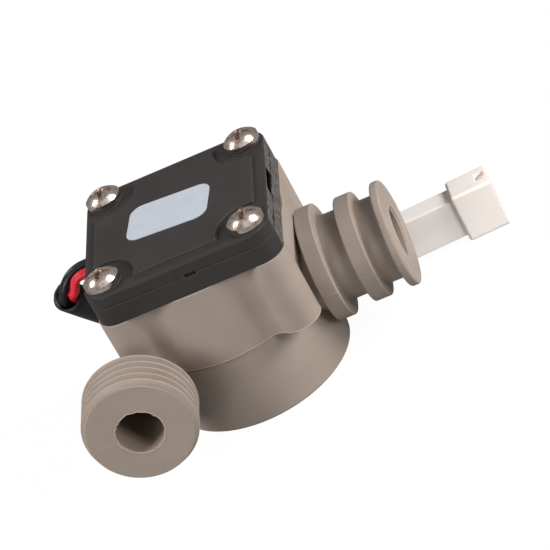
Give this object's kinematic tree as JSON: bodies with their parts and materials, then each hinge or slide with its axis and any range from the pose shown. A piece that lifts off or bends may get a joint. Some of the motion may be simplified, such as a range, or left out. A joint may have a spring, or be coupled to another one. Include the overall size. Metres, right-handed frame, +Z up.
{
  "type": "water flow sensor",
  "caption": "Water flow sensor: a moulded housing with a threaded inlet and a flanged outlet, a turbine inside, a flat electronics box on top, and a sleeved lead with a plug.",
  "frame": {"origin": "centre of the flat round base, on the turbine's axis", "axes": "+Z up along the turbine's axis to the electronics box, +X out of the outlet, -Y out of the inlet"},
  "size_m": [0.0799, 0.0667, 0.0397],
  "materials": {
    "housing_plastic": "satin moulded",
    "seal_rubber": "matt",
    "bearing_plastic": "satin",
    "rotor_plastic": "satin moulded",
    "magnet": "sintered",
    "steel": "ground",
    "box_plastic": "satin moulded",
    "screw_metal": "bright nickel plated",
    "label_film": "satin film",
    "board": "solder mask",
    "chip_black": "moulded",
    "capacitor_tan": "fired ceramic",
    "plug_plastic": "milky moulded",
    "contact_metal": "tinned",
    "sleeve_black": "satin",
    "wire_red": "satin insulation",
    "wire_black": "satin insulation",
    "wire_white": "satin insulation"
  },
  "bodies": {
    "body": {"housing": "housing_plastic", "chamber_lid": "housing_plastic", "lid_seal": "seal_rubber", "lower_bush": "bearing_plastic", "upper_bush": "bearing_plastic", "lower_thrust_washer": "bearing_plastic", "upper_thrust_washer": "bearing_plastic", "sensor_tray": "box_plastic", "sensor_cover": "box_plastic", "cover_screws": "screw_metal", "label": "label_film", "circuit_board": "board", "hall_sensor": "chip_black", "board_capacitor": "capacitor_tan", "board_resistor": "chip_black", "plug_housing": "plug_plastic", "plug_contacts": "contact_metal", "wire_sleeve": "sleeve_black", "wire_red": "wire_red", "wire_black": "wire_black", "wire_white": "wire_white"},
    "turbine": {"rotor": "rotor_plastic", "rotor_magnet": "magnet", "rotor_shaft": "steel"}
  },
  "joints": [
    {"name": "rotor_spin", "type": "hinge", "parent": "body", "child": "turbine", "pos_m": [0, 0, 0.0145], "axis": [0, 0, 1], "continuous": true}
  ]
}
